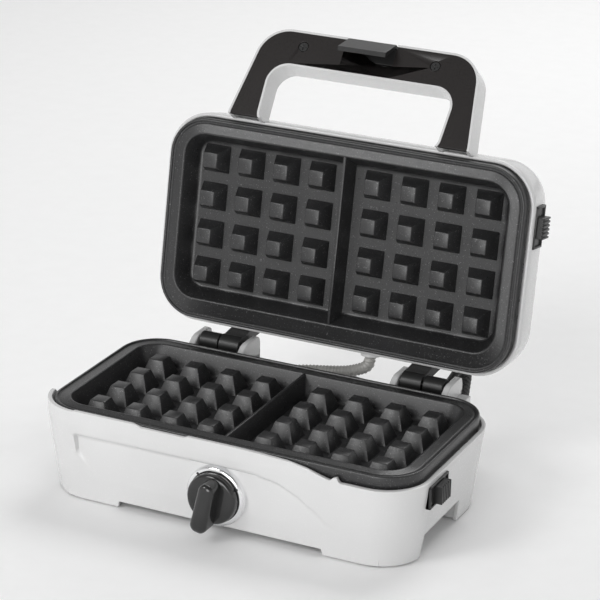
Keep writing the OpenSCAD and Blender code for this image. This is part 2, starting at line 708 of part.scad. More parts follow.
module latch_lever() color(brown) lid_pose() handle_pose() difference() {
  union() {
    box([-lever_x, pivot_u - 3, -5.5], [lever_x, handle_l - 0.5, -3]);
    translate([-lever_x, 0, 0]) rotate([90, 0, 90]) linear_extrude(2 * lever_x)
      polygon([[handle_l - 0.5, -5.5], [handle_l - 0.5, 0.5],
        [handle_l - 0.5 - 0.84 * tongue_l, tongue_l], [handle_l - 3 - 0.84 * tongue_l, tongue_l - 2],
        [handle_l - 3, 0], [handle_l - 3, -5.5]]);
    for (s = [-1, 1]) {
      rod_x(s > 0 ? 12 : -lever_x, pivot_u, pivot_w, 3.2, 5);
      box([s > 0 ? 12 : -lever_x, pivot_u - 2.5, pivot_w], [s > 0 ? lever_x : -12, pivot_u + 2.5, -4]);
    }
  }
  rod_x(-25, pivot_u, pivot_w, latch_pin_r + 0.06, 50);
}

module latch_pin() color(steel) lid_pose() handle_pose()
  rod_x(-pocket_x - 3, pivot_u, pivot_w, latch_pin_r, 2 * pocket_x + 6);

module latch_spring() color(steel) lid_pose() handle_pose()
  translate([-6, pivot_u, pivot_w]) rotate([0, 90, 0]) spring(2.2, 0.4, 5, 12);

// ---- leads ----

// Collared ring against a wall at y, reaching in through the wall
module gland(x, y, z) {
  rod_y(x, y, z, gland_r, gland_t);
  rod_y(x, y - wall + 0.4, z, sleeve_r + 1, wall);
}

module sleeve_gland_base() color(black) placed() gland(gland_x, rear_wall_y, gland_z);
module sleeve_gland_lid() color(white) lid_pose() gland(lid_gland_x, lid_wall_y, hinge_z + lid_gland_up);

module sleeve() color(grey) placed() tube(smooth(sleeve_path, 2), sleeve_r, 12);

// The flared boot, or with a gap its seat in the outlet block
module boot(gap) translate(outlet)
  rotate([-acos(boot_dir.z / norm(boot_dir)), 0, -atan2(boot_dir.x, boot_dir.y)]) {
    cylinder(h = boot_l, r1 = cord_r + 2.6 + gap, r2 = cord_r + 0.8 + gap);
    translate([0, 0, -gap]) cylinder(h = 3 + gap, r = cord_r + 3.2 + gap);
  }

module strain_relief() color(black) placed() boot(0);

module mains_cord() color(black) placed() tube(cord_path, cord_r, 12);

module cord_coil() color(black) placed() translate([coil_at.x, coil_at.y, coil_z])
  rotate_extrude() translate([coil_r, 0]) {
    circle(cord_r, $fn = 24);
    translate([-cord_r, 0]) square([cord_d, 2 * coil_step]);
    translate([0, 2 * coil_step]) circle(cord_r, $fn = 24);
  }

module cord_tie() color(black) placed() translate([coil_at.x - coil_r, coil_at.y, 0])
  difference() {
    box([-cord_r - 1.2, -2, 0], [cord_r + 1.2, 2, tail_top + cord_r + 1]);
    box([-cord_r, -3, 0.8], [cord_r, 3, tail_top + cord_r]);
  }

module cord_tail() color(black) placed() tube(tail_path, cord_r, 12);

module plug_body() color(black) placed() translate(plug_at) {
  box([-12, -4, -6], [12, 20, 6]);
  rod_y(0, 20, 0, 5.2, 8);
}

module plug_blades() color(steel) placed() translate(plug_at)
  for (s = [-1, 1]) box([s * 6.35 - 0.75, -21, -3.2], [s * 6.35 + 0.75, -4, 3.2]);

base_housing();
bottom_cover();
foot_pads();
cover_screws();
hinge_bracket_left();
hinge_bracket_right();
hinge_pins();
lower_tray();
lower_heater();
lower_plate();
base_button_frame();
base_button();
base_button_spring();
dial_ring();
dial();
dial_shaft();
thermostat();
terminal_block();
sleeve_gland_base();
sleeve_gland_lid();
sleeve();
strain_relief();
mains_cord();
cord_coil();
cord_tie();
cord_tail();
plug_body();
plug_blades();
lid_housing();
lid_arm_left();
lid_arm_right();
arm_screws();
upper_tray();
upper_heater();
upper_plate();
lid_button_frame();
lid_button();
lid_button_spring();
handle_shell();
handle_insert();
handle_screws();
latch_lever();
latch_pin();
latch_spring();
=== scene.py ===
import math

import bmesh
import bpy
from mathutils import Matrix, Vector


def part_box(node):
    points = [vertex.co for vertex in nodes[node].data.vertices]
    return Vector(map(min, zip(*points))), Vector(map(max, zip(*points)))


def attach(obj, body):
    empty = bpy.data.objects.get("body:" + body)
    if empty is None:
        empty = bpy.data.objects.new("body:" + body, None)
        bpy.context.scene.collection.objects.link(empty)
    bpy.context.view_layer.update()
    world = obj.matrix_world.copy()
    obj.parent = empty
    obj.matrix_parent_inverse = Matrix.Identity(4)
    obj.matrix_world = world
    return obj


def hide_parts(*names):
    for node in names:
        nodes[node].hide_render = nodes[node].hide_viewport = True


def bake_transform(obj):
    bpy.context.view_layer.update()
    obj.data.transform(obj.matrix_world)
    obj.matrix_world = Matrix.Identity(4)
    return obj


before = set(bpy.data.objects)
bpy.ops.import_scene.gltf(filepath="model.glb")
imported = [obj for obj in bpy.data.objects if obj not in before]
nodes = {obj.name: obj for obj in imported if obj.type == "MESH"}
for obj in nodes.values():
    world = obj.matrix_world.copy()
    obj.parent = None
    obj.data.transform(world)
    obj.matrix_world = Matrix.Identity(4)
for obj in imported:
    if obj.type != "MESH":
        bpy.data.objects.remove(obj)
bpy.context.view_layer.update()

# Everything below is in the machine's own millimetres: plates centred on x = 0, y = 0, table at z = 0
plateLow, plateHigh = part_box("lower_plate")
machine = {"originX": -500 * (plateLow[0] + plateHigh[0]), "originY": -500 * (plateLow[1] + plateHigh[1]),
           "hingeY": 82.0, "hingeZ": 59.0, "openAngle": 100.0, "mirrorZ": 124.4}

toRow = (Matrix.Diagonal((0.001, 0.001, 0.001, 1.0))
         @ Matrix.Translation((-machine["originX"], -machine["originY"], 0.0)))
hingePoint = Vector((0.0, machine["hingeY"], machine["hingeZ"]))
toLid = (toRow @ Matrix.Translation(hingePoint)
         @ Matrix.Rotation(math.radians(-machine["openAngle"]), 4, "X") @ Matrix.Translation(-hingePoint))
toUpper = toLid @ Matrix.Translation((0.0, 0.0, machine["mirrorZ"])) @ Matrix.Diagonal((1.0, 1.0, -1.0, 1.0))



view = {"azimuth": 25.303, "elevation": 21.245, "roll": 1.249, "distance": 1683.9, "lens": 152.0,
        "target": (-24.96, 99.19, 93.53)}


def buildCamera():
    azimuth, elevation, roll = (math.radians(view[k]) for k in ("azimuth", "elevation", "roll"))
    level = math.cos(elevation)
    back = Vector((math.sin(azimuth) * level, -math.cos(azimuth) * level, math.sin(elevation)))
    flatRight = Vector((math.cos(azimuth), math.sin(azimuth), 0.0))
    flatUp = back.cross(flatRight)
    right = flatRight * math.cos(roll) + flatUp * math.sin(roll)
    up = flatUp * math.cos(roll) - flatRight * math.sin(roll)
    data = bpy.data.cameras.new("camera")
    data.lens = view["lens"]
    data.sensor_width = 36.0
    data.clip_start = 0.05
    camera = bpy.data.objects.new("camera", data)
    place = Matrix((right, up, back)).transposed().to_4x4()
    place.translation = toRow @ Vector(view["target"]) + back * view["distance"] * 0.001
    camera.matrix_world = place
    bpy.context.scene.collection.objects.link(camera)
    bpy.context.scene.camera = camera


buildCamera()
print("camera made")


# materials

def newMaterial(name):
    material = bpy.data.materials.new(name)
    material.use_nodes = True
    tree = material.node_tree
    return material, tree, tree.nodes["Principled BSDF"]


def noiseNode(tree, scale, detail=4.0, roughness=0.55, stretch=(1.0, 1.0, 1.0)):
    place = tree.nodes.new("ShaderNodeTexCoord")
    mapping = tree.nodes.new("ShaderNodeMapping")
    mapping.inputs["Scale"].default_value = stretch
    noise = tree.nodes.new("ShaderNodeTexNoise")
    noise.inputs["Scale"].default_value = scale
    noise.inputs["Detail"].default_value = detail
    noise.inputs["Roughness"].default_value = roughness
    tree.links.new(place.outputs["Object"], mapping.inputs["Vector"])
    tree.links.new(mapping.outputs["Vector"], noise.inputs["Vector"])
    return noise


def rangeNode(tree, source, low, high, fromLow=0.3, fromHigh=0.7):
    node = tree.nodes.new("ShaderNodeMapRange")
    node.inputs["From Min"].default_value = fromLow
    node.inputs["From Max"].default_value = fromHigh
    node.inputs["To Min"].default_value = low
    node.inputs["To Max"].default_value = high
    tree.links.new(source, node.inputs["Value"])
    return node


def rampNode(tree, source, colours, positions=(0.3, 0.7)):
    ramp = tree.nodes.new("ShaderNodeValToRGB")
    for element, colour, position in zip(ramp.color_ramp.elements, colours, positions):
        element.color = (*colour, 1.0)
        element.position = position
    tree.links.new(source, ramp.inputs["Fac"])
    return ramp


def bumpNode(tree, height, distance, strength=1.0, below=None):
    bump = tree.nodes.new("ShaderNodeBump")
    bump.inputs["Distance"].default_value = distance
    bump.inputs["Strength"].default_value = strength
    tree.links.new(height, bump.inputs["Height"])
    if below is not None:
        tree.links.new(below.outputs["Normal"], bump.inputs["Normal"])
    return bump


def mouldedFinish(name, look):
    # moulded plastic or rubber: slow tone drift, fine grain in the surface, uneven gloss
    material, tree, shader = newMaterial(name)
    drift = noiseNode(tree, look["driftScale"], 3.0)
    grain = noiseNode(tree, look["grainScale"], 2.0)
    tone = rampNode(tree, drift.outputs["Fac"], (look["dark"], look["light"]))
    gloss = rangeNode(tree, grain.outputs["Fac"],
                      look["roughness"] - look["spread"], look["roughness"] + look["spread"])
    waves = bumpNode(tree, drift.outputs["Fac"], look["waveDepth"], 0.5)
    bump = bumpNode(tree, grain.outputs["Fac"], look["grainDepth"], 0.6, waves)
    tree.links.new(tone.outputs["Color"], shader.inputs["Base Color"])
    tree.links.new(gloss.outputs["Result"], shader.inputs["Roughness"])
    tree.links.new(bump.outputs["Normal"], shader.inputs["Normal"])
    shader.inputs["Coat Weight"].default_value = look["coat"]
    shader.inputs["Coat Roughness"].default_value = 0.08
    shader.inputs["Specular IOR Level"].default_value = look.get("specular", 0.5)
    return material


def metalFinish(name, look):
    # metal with a drawn or turned grain along one direction
    material, tree, shader = newMaterial(name)
    lines = noiseNode(tree, look["lineScale"], 3.0, 0.6, look["stretch"])
    stain = noiseNode(tree, 35.0, 3.0)
    tone = rampNode(tree, stain.outputs["Fac"], (look["dark"], look["light"]))
    gloss = rangeNode(tree, lines.outputs["Fac"],
                      look["roughness"] - look["spread"], look["roughness"] + look["spread"])
    bump = bumpNode(tree, lines.outputs["Fac"], look["depth"], 0.4)
    tree.links.new(tone.outputs["Color"], shader.inputs["Base Color"])
    tree.links.new(gloss.outputs["Result"], shader.inputs["Roughness"])
    tree.links.new(bump.outputs["Normal"], shader.inputs["Normal"])
    shader.inputs["Metallic"].default_value = look["metallic"]
    return material


def nonStickFinish(name, look):
    # sprayed non-stick coat on cast aluminium: pebbled skin with fine pale flecks
    material, tree, shader = newMaterial(name)
    pebble = noiseNode(tree, look["pebbleScale"], 4.0, 0.6)
    fleck = noiseNode(tree, look["fleckScale"], 1.0, 0.5)
    cloud = noiseNode(tree, 22.0, 3.0)
    tone = rampNode(tree, cloud.outputs["Fac"], (look["dark"], look["light"]), (0.25, 0.75))
    dots = rampNode(tree, fleck.outputs["Fac"], ((0.0, 0.0, 0.0), (1.0, 1.0, 1.0)), (0.66, 0.76))
    mix = tree.nodes.new("ShaderNodeMix")
    mix.data_type = "RGBA"
    mix.inputs["B"].default_value = (*look["fleck"], 1.0)
    tree.links.new(dots.outputs["Color"], mix.inputs["Factor"])
    tree.links.new(tone.outputs["Color"], mix.inputs["A"])
    gloss = rangeNode(tree, pebble.outputs["Fac"], look["roughness"] - 0.07, look["roughness"] + 0.09)
    bump = bumpNode(tree, pebble.outputs["Fac"], look["depth"], 0.7)
    tree.links.new(mix.outputs["Result"], shader.inputs["Base Color"])
    tree.links.new(gloss.outputs["Result"], shader.inputs["Roughness"])
    tree.links.new(bump.outputs["Normal"], shader.inputs["Normal"])
    shader.inputs["Specular IOR Level"].default_value = look["specular"]
    return material


whiteShell = mouldedFinish("whiteShell", {
    "dark": (0.63, 0.63, 0.63), "light": (0.68, 0.68, 0.68), "driftScale": 9.0, "grainScale": 1400.0,
    "roughness": 0.24, "spread": 0.04, "waveDepth": 0.00015, "grainDepth": 0.000008, "coat": 0.35})
blackSatin = mouldedFinish("blackSatin", {
    "dark": (0.010, 0.010, 0.010), "light": (0.022, 0.022, 0.022), "driftScale": 30.0, "grainScale": 2600.0,
    "roughness": 0.38, "spread": 0.08, "waveDepth": 0.0001, "grainDepth": 0.00003, "coat": 0.0})
gripSatin = mouldedFinish("gripSatin", {
    "dark": (0.014, 0.012, 0.0115), "light": (0.019, 0.016, 0.0155), "driftScale": 18.0, "grainScale": 3000.0,
    "roughness": 0.3, "spread": 0.05, "waveDepth": 0.0001, "grainDepth": 0.00002, "coat": 0.0,
    "specular": 0.4})
knobGloss = mouldedFinish("knobGloss", {
    "dark": (0.006, 0.006, 0.006), "light": (0.012, 0.012, 0.012), "driftScale": 25.0, "grainScale": 2200.0,
    "roughness": 0.2, "spread": 0.04, "waveDepth": 0.00008, "grainDepth": 0.000006, "coat": 0.4})
cordRubber = mouldedFinish("cordRubber", {
    "dark": (0.010, 0.010, 0.010), "light": (0.018, 0.018, 0.018), "driftScale": 60.0, "grainScale": 1800.0,
    "roughness": 0.5, "spread": 0.08, "waveDepth": 0.00012, "grainDepth": 0.00004, "coat": 0.0})
sleeveGrey = mouldedFinish("sleeveGrey", {
    "dark": (0.32, 0.315, 0.30), "light": (0.42, 0.415, 0.40), "driftScale": 50.0, "grainScale": 2000.0,
    "roughness": 0.35, "spread": 0.06, "waveDepth": 0.0002, "grainDepth": 0.00003, "coat": 0.1})
plainGrey = mouldedFinish("plainGrey", {
    "dark": (0.28, 0.28, 0.28), "light": (0.36, 0.36, 0.35), "driftScale": 40.0, "grainScale": 1600.0,
    "roughness": 0.5, "spread": 0.06, "waveDepth": 0.0001, "grainDepth": 0.00003, "coat": 0.0})
nonStick = nonStickFinish("nonStick", {
    "dark": (0.016, 0.016, 0.0165), "light": (0.025, 0.025, 0.026), "fleck": (0.18, 0.18, 0.18),
    "pebbleScale": 900.0, "fleckScale": 1300.0, "roughness": 0.33, "depth": 0.00008, "specular": 0.62})
steelPlain = metalFinish("steelPlain", {
    "dark": (0.50, 0.50, 0.51), "light": (0.62, 0.62, 0.63), "lineScale": 300.0, "stretch": (0.1, 1.0, 1.0),
    "roughness": 0.3, "spread": 0.08, "depth": 0.00002, "metallic": 1.0})
brightRing = metalFinish("brightRing", {
    "dark": (0.86, 0.86, 0.87), "light": (0.92, 0.92, 0.93), "lineScale": 500.0, "stretch": (1.0, 1.0, 1.0),
    "roughness": 0.12, "spread": 0.03, "depth": 0.000004, "metallic": 1.0})
bladeBrass = metalFinish("bladeBrass", {
    "dark": (0.60, 0.48, 0.26), "light": (0.72, 0.60, 0.34), "lineScale": 400.0, "stretch": (1.0, 0.1, 1.0),
    "roughness": 0.3, "spread": 0.06, "depth": 0.00001, "metallic": 1.0})
print("materials made")


# mesh helpers

def finishMesh(bm, name, material, body, place=None, replaces=(), bevel=0.0, segments=2,
               sharp=35.0, recalc=True):
    # bm in machine millimetres, or in row metres where place is None; with body None the piece is attached to
    # no body
    if place is not None:
        bmesh.ops.transform(bm, matrix=place, verts=bm.verts)
        if place.determinant() < 0:
            bmesh.ops.reverse_faces(bm, faces=bm.faces)
    if recalc:
        bmesh.ops.recalc_face_normals(bm, faces=bm.faces)
    mesh = bpy.data.meshes.new(name)
    bm.to_mesh(mesh)
    bm.free()
    mesh.polygons.foreach_set("use_smooth", [True] * len(mesh.polygons))
    mesh.set_sharp_from_angle(angle=math.radians(sharp))
    mesh.materials.append(material)
    piece = bpy.data.objects.new(name, mesh)
    bpy.context.scene.collection.objects.link(piece)
    if bevel:
        edge = piece.modifiers.new("softEdges", "BEVEL")
        edge.width = bevel * 0.001
        edge.segments = segments
        edge.limit_method = "ANGLE"
        edge.angle_limit = math.radians(38)
        edge.harden_normals = False
    if body:
        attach(piece, body)
    if replaces:
        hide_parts(*replaces)
    return piece


def softened(node, name, material, body, bevel=0.4, segments=2, sharp=35.0):
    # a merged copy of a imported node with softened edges
    bm = bmesh.new()
    bm.from_mesh(nodes[node].data)
    bmesh.ops.remove_doubles(bm, verts=bm.verts, dist=0.000004)
    bmesh.ops.dissolve_limit(bm, angle_limit=math.radians(0.6), verts=bm.verts, edges=bm.edges)
    return finishMesh(bm, name, material, body, None, (node,), bevel, segments, sharp, recalc=False)


def roundedLoop(bm, width, depth, radius, arc=10, cutsX=0, cutsY=0):
    # a rounded rectangle of edges; each vertex keeps the core point and outward direction it was made from
    core = bm.verts.layers.float_vector.get("core") or bm.verts.layers.float_vector.new("core")
    out = bm.verts.layers.float_vector.get("out") or bm.verts.layers.float_vector.new("out")
    made = bmesh.ops.create_grid(bm, x_segments=1, y_segments=1, size=0.5)["verts"]
    bmesh.ops.scale(bm, vec=(width, depth, 1.0), verts=made)
    face = made[0].link_faces[0]
    bmesh.ops.bevel(bm, geom=list(face.verts), offset=radius, offset_type="OFFSET", segments=arc, profile=0.5,
                    affect="VERTICES", material=-1, clamp_overlap=False)
    loop = [f for f in bm.faces if len(f.verts) > 4 and all(e.is_boundary for e in f.edges)][-1]
    bmesh.ops.delete(bm, geom=[loop], context="FACES_ONLY")
    for cuts, along in ((cutsX, 0), (cutsY, 1)):
        if cuts:
            long = [e for e in bm.edges if e.is_wire
                    and abs(e.verts[0].co[along] - e.verts[1].co[along]) > radius * 0.5
                    and abs(e.verts[0].co[1 - along] - e.verts[1].co[1 - along]) < 0.001]
            bmesh.ops.subdivide_edges(bm, edges=long, cuts=cuts)
    edges = [e for e in bm.edges if e.is_wire]
    verts = list({v for e in edges for v in e.verts})
    coreX, coreY = width / 2 - radius, depth / 2 - radius
    for v in verts:
        inner = Vector((max(-coreX, min(coreX, v.co.x)), max(-coreY, min(coreY, v.co.y)), 0.0))
        v[out] = (v.co - inner) / radius
        v[core] = Vector((inner.x / coreX, inner.y / coreY, 0.0))
    return edges


def placeLoop(bm, edges, width, depth, radius, z, shiftY=0.0, warp=None):
    core = bm.verts.layers.float_vector["core"]
    out = bm.verts.layers.float_vector["out"]
    for v in {v for e in edges for v in e.verts}:
        x = v[core].x * (width / 2 - radius) + v[out].x * radius
        y = v[core].y * (depth / 2 - radius) + v[out].y * radius + shiftY
        v.co = warp(x, y, z) if warp else Vector((x, y, z))


def profiledShell(bm, width, depth, radius, steps, arc=10, capEnd=False, shiftY=0.0):
    # steps are (inset, z) or (inset, z, extra depth at the rear)
    edges = roundedLoop(bm, width, depth, radius, arc)
    for i, step in enumerate(steps):
        if i:
            edges = ringAfter(bm, edges)
        extra = step[2] if len(step) > 2 else 0.0
        inset = step[0]
        placeLoop(bm, edges, width - 2 * inset, depth - 2 * inset + extra, max(radius - inset, 1.0), step[1],
                  shiftY + extra / 2)
    if capEnd:
        bmesh.ops.contextual_create(bm, geom=edges)


def ringAfter(bm, edges):
    made = bmesh.ops.extrude_edge_only(bm, edges=edges)["geom"]
    newVerts = {v for v in made if isinstance(v, bmesh.types.BMVert)}
    return [e for e in made if isinstance(e, bmesh.types.BMEdge) and set(e.verts) <= newVerts]


def addBox(bm, low, high, bevel=0.0, segments=2):
    made = bmesh.ops.create_cube(bm, size=1.0)["verts"]
    low, high = Vector(low), Vector(high)
    bmesh.ops.scale(bm, vec=high - low, verts=made)
    bmesh.ops.translate(bm, vec=(low + high) / 2, verts=made)
    if bevel:
        edges = {e for v in made for e in v.link_edges}
        made = bmesh.ops.bevel(bm, geom=list(edges), offset=bevel, offset_type="OFFSET", segments=segments,
                               profile=0.5, affect="EDGES", material=-1)["verts"]
    return made


def addLathe(bm, axisPlace, profile, around=48):
    # profile is (radius, height) from one end to the other, closed where the radius is 0
    made = bmesh.ops.create_circle(bm, cap_ends=False, radius=1.0, segments=around)["verts"]
    edges = list({e for v in made for e in v.link_edges})
    every = []
    first = None
    for i, (radius, height) in enumerate(profile):
        if i:
            edges = ringAfter(bm, edges)
        ring = list({v for e in edges for v in e.verts})
        for v in ring:
            flat = Vector((v.co.x, v.co.y, 0.0)).normalized()
            v.co = flat * max(radius, 0.001) + Vector((0.0, 0.0, height))
        every += ring
        first = first or edges
    for end, radius in ((first, profile[0][0]), (edges, profile[-1][0])):
        if radius > 0:
            bmesh.ops.contextual_create(bm, geom=end)
    bmesh.ops.transform(bm, matrix=axisPlace, verts=every)
    return every


def alongAxis(point, direction):
    place = Vector(direction).to_track_quat("Z", "Y").to_matrix().to_4x4()
    place.translation = Vector(point)
    return place


def curveThrough(a, b, c, d, t):
    return 0.5 * (2 * b + (c - a) * t + (2 * a - 5 * b + 4 * c - d) * t * t
                  + (3 * b - a - 3 * c + d) * t ** 3)


def smoothLine(points, parts):
    points = [Vector(p) for p in points]
    ends = [2 * points[0] - points[1]] + points + [2 * points[-1] - points[-2]]
    line = [curveThrough(*ends[i:i + 4], j / parts) for i in range(len(points) - 1) for j in range(parts)]
    return line + [points[-1]]


def lineLength(line):
    return sum((b - a).length for a, b in zip(line, line[1:]))


def tubeCurve(name, line, radius, around=6):
    data = bpy.data.curves.new(name, "CURVE")
    data.dimensions = "3D"
    data.bevel_depth = radius
    data.bevel_resolution = around
    data.use_fill_caps = True
    spline = data.splines.new("POLY")
    spline.points.add(len(line) - 1)
    for point, place in zip(spline.points, line):
        point.co = (*place, 1.0)
    spline.use_smooth = True
    return bpy.data.objects.new(name, data)


# leads

mainsLead = {"diameter": 7.0, "outlet": (92.0, 96.0, 44.0), "bootLength": 28.0, "bootWay": (-0.2, 0.92, 0.34),
             "coilCentre": (-4.0, 115.0), "coilRadius": 38.5, "step": 6.72, "low": 4.3, "turns": 3,
             "route": [(83, 137, 57), (77, 151.5, 54.5), (70, 162.5, 45.5), (62, 167.5, 32.5),
                       (53.5, 168, 19), (42, 165, 8.5), (27.5, 160, 4.5), (12, 155.5, 4.5)],
             "tail": [(-21.5, 157, 17.5), (-38.5, 161, 15.5), (-55, 156, 11), (-64.5, 142, 7)],
             "tailEnd": (-66, 124, 6)}


def coilHeight(turn):
    # each turn lies flat on the one below and climbs to the next over the last third of its way round
    share = max(0.0, min(1.0, (turn % 1.0 - 0.66) / 0.34))
    return mainsLead["low"] + mainsLead["step"] * (int(turn) + share * share * (3 - 2 * share))


def coilPoints():
    cx, cy = mainsLead["coilCentre"]
    perTurn = 24
    points = []
    for i in range(perTurn * mainsLead["turns"] + 1):
        turn = i / perTurn
        angle = math.radians(90 + 360 * turn)
        height = min(coilHeight(turn), mainsLead["low"] + (mainsLead["turns"] - 1) * mainsLead["step"])
        points.append(Vector((cx + mainsLead["coilRadius"] * math.cos(angle),
                              cy + mainsLead["coilRadius"] * math.sin(angle), height)))
    return points


def buildMainsLead():
    way = Vector(mainsLead["bootWay"]).normalized()
    bootEnd = Vector(mainsLead["outlet"]) + way * mainsLead["bootLength"]
    coil = coilPoints()
    start = [tuple(bootEnd)] + mainsLead["route"] + [tuple(coil[0])]
    end = [tuple(coil[-1])] + mainsLead["tail"] + [mainsLead["tailEnd"]]
    route = smoothLine(start, 4)[:-1] + coil + smoothLine(end, 4)[1:]
    line = [toRow @ p for p in route]
    cord = tubeCurve("mainsLead", line, mainsLead["diameter"] / 2 * 0.001)
    bpy.context.scene.collection.objects.link(cord)
    cord.data.materials.append(cordRubber)
    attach(cord, "base")
    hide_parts("mains_cord", "cord_coil", "cord_tail")
    plug = softened("plug_body", "plugBody", cordRubber, "base", 1.2, 3)
    blades = softened("plug_blades", "plugBlades", bladeBrass, "base", 0.25, 2)
    tie = softened("cord_tie", "cordTie", blackSatin, "base", 0.25, 2)
    tuple(line[0])
    lineLength(line)
    return bootEnd, way


bootEnd, bootWay = buildMainsLead()

sleeve = {"radius": 4.0, "ribDepth": 0.45, "ribStep": 2.4, "sides": 20,
          "bendFrom": (-24, 91, 45.5), "bendTo": (26, 99.3, 60),
          "route": [(-38, 72.13, 44.5), (-37, 79.1, 44.5), (-30, 89, 45), (-16, 94, 46.5), (-2, 96, 48),
                    (11, 97.5, 50), (21, 98.5, 53.5), (26, 99.02, 57.1), (27, 99.97, 63.02)]}


def buildSleeve():
    # the ribbed grey lead that feeds the lid's heater; the real lead bends as the lid closes, this one keeps
    # a single shape
    path = smoothLine(sleeve["route"], 8)
    total = lineLength(path)
    count = int(total / (sleeve["ribStep"] / 4))
    bm = bmesh.new()
    made = bmesh.ops.create_circle(bm, cap_ends=False, radius=1.0, segments=sleeve["sides"])["verts"]
    flatRing = [(v, v.co.copy()) for v in made]
    edges = list({e for v in made for e in v.link_edges})
    first = edges
    walked, at = 0.0, 0
    for i in range(count + 1):
        goal = total * i / count
        while at < len(path) - 2 and walked + (path[at + 1] - path[at]).length < goal:
            walked += (path[at + 1] - path[at]).length
            at += 1
        span = path[at + 1] - path[at]
        spot = path[at] + span * min(1.0, (goal - walked) / span.length)
        radius = sleeve["radius"] - (sleeve["ribDepth"] if i % 4 in (2, 3) else 0.0)
        turnTo = span.to_track_quat("Z", "Y").to_matrix()
        if i:
            edges = ringAfter(bm, edges)
            ring = {v for e in edges for v in e.verts}
            for v in ring:
                v.co = spot + turnTo @ ((lastTurn.transposed() @ (v.co - lastSpot)).normalized() * radius)
        else:
            for v, flat in flatRing:
                v.co = spot + turnTo @ (flat * radius)
        lastTurn, lastSpot = turnTo, spot
    for end in (first, edges):
        bmesh.ops.contextual_create(bm, geom=end)
    tube = finishMesh(bm, "sleevedLead", sleeveGrey, None, toRow, ("sleeve",), sharp=50.0)
    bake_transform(tube)
    line = [toRow @ p for p in path]
    tuple(line[0])
    lineLength(line)
    [tuple(p) for p in line]


buildSleeve()
print("leads made")


# plates

plate = {"width": 254.0, "depth": 133.0, "corner": 26.0, "rearExtra": 3.0,
         "profile": [(1.2, 52.2), (0.3, 52.4), (0.0, 53.0), (0.0, 60.9), (0.25, 61.6), (0.8, 62.0),
                     (1.5, 62.0), (1.9, 61.7), (2.2, 61.0), (3.2, 60.9), (3.6, 61.3), (4.2, 61.6),
                     (8.6, 61.6), (9.2, 61.9), (9.9, 62.0), (10.6, 61.7), (11.0, 61.0), (15.2, 50.2),
                     (15.8, 48.8), (16.8, 48.15), (18.4, 48.0)],
         "studTop": 10.0, "studFoot": 18.8, "studZ": 60.0, "floorZ": 47.6, "pitchX": 25.984, "pitchY": 25.764,
         "wellX": 59.0, "studSoft": 0.55,
         "dividerTop": (2.0, 112.4, 61.7), "dividerFoot": (7.0, 104.0, 47.6), "dividerSoft": 0.6}


def buildPlate(name, node, body, place, extra):
    bm = bmesh.new()
    steps = [(i, z, extra if i < 8 else 0.0) for i, z in plate["profile"]]
    profiledShell(bm, plate["width"], plate["depth"], plate["corner"], steps, 12, capEnd=True)
    # underside, kept simple: a skirt wall and the pan
    inner = [(2.6, 52.2, extra), (2.6, 58.6, extra), (9.0, 58.4), (12.0, 46.5), (15.0, 44.9), (18.0, 44.8)]
    profiledShell(bm, plate["width"], plate["depth"], plate["corner"], inner, 12, capEnd=True)
    rims = [e for e in bm.edges if e.is_boundary]
    bmesh.ops.bridge_loops(bm, edges=rims)
    for sx in (-1, 1):
        for i in range(4):
            for j in range(4):
                made = bmesh.ops.create_cone(
                    bm, cap_ends=True, segments=4, radius1=plate["studFoot"] / math.sqrt(2),
                    radius2=plate["studTop"] / math.sqrt(2), depth=plate["studZ"] - plate["floorZ"])["verts"]
                square = Matrix.Rotation(math.radians(45), 3, "Z")
                bmesh.ops.rotate(bm, cent=(0, 0, 0), matrix=square, verts=made)
                bmesh.ops.translate(bm, verts=made, vec=(
                    sx * plate["wellX"] + (i - 1.5) * plate["pitchX"], (j - 1.5) * plate["pitchY"],
                    (plate["studZ"] + plate["floorZ"]) / 2))
                edges = [e for e in {e for v in made for e in v.link_edges}
                         if max(v.co.z for v in e.verts) > plate["studZ"] - 1]
                bmesh.ops.bevel(bm, geom=edges, offset=plate["studSoft"], offset_type="OFFSET", segments=2,
                                profile=0.5, affect="EDGES", material=-1)
    made = bmesh.ops.create_cube(bm, size=1.0)["verts"]
    for v in made:
        width, depth, height = plate["dividerTop"] if v.co.z > 0 else plate["dividerFoot"]
        v.co = Vector((v.co.x * width, v.co.y * depth, height))
    edges = [e for e in {e for v in made for e in v.link_edges} if min(v.co.z for v in e.verts) > 60]
    bmesh.ops.bevel(bm, geom=edges, offset=plate["dividerSoft"], offset_type="OFFSET", segments=3,
                    profile=0.5, affect="EDGES", material=-1)
    finishMesh(bm, name, nonStick, body, place, (node,), sharp=40.0)


buildPlate("lowerPlate", "lower_plate", "base", toRow, 0.0)
buildPlate("upperPlate", "upper_plate", "lid", toUpper, plate["rearExtra"])
print("plates made")


# base shell

base = {"width": 262.0, "depth": 141.0, "corner": 30.0, "lean": 6.0, "rim": 54.0, "wall": 2.5,
        "panelY": -66.5, "panelSoft": 2.6,
        "lipEnd": -36.0,
        "lip": [(-131, 8.4), (-109, 8.4), (-107, 9), (-57.6, 9), (-52.4, 7.5), (-21.2, 7.5),
                (-19.4, 8.5), (6.5, 8.5), (30, 8), (48.5, 7), (61.6, 4.8), (70.7, 2.2), (77.3, 0.6),
                (79.6, 2.9), (82.4, 3.4), (83.2, 0.2), (84.4, 0)],
        "hollow": [(-108.7, 46.3), (-97, 32.2), (-85.2, 18.7), (-73.4, 8.8), (-70, -6), (82.5, -6),
                   (82.5, 19.8), (74.7, 22.9), (65.5, 30.2), (55, 37.4), (41.9, 43.7), (26.2, 46.3),
                   (6.5, 46.8)],
        "footX": 74.0, "frontFootY": -43.7, "rearFootX": 79.9, "rearFootY": 19.7, "sideLift": 16.1,
        "frontLift": 5.0}


def between(points, x):
    for (x0, y0), (x1, y1) in zip(points, points[1:]):
        if x0 <= x <= x1:
            return y0 + (y1 - y0) * (x - x0) / (x1 - x0)
    return 0.0


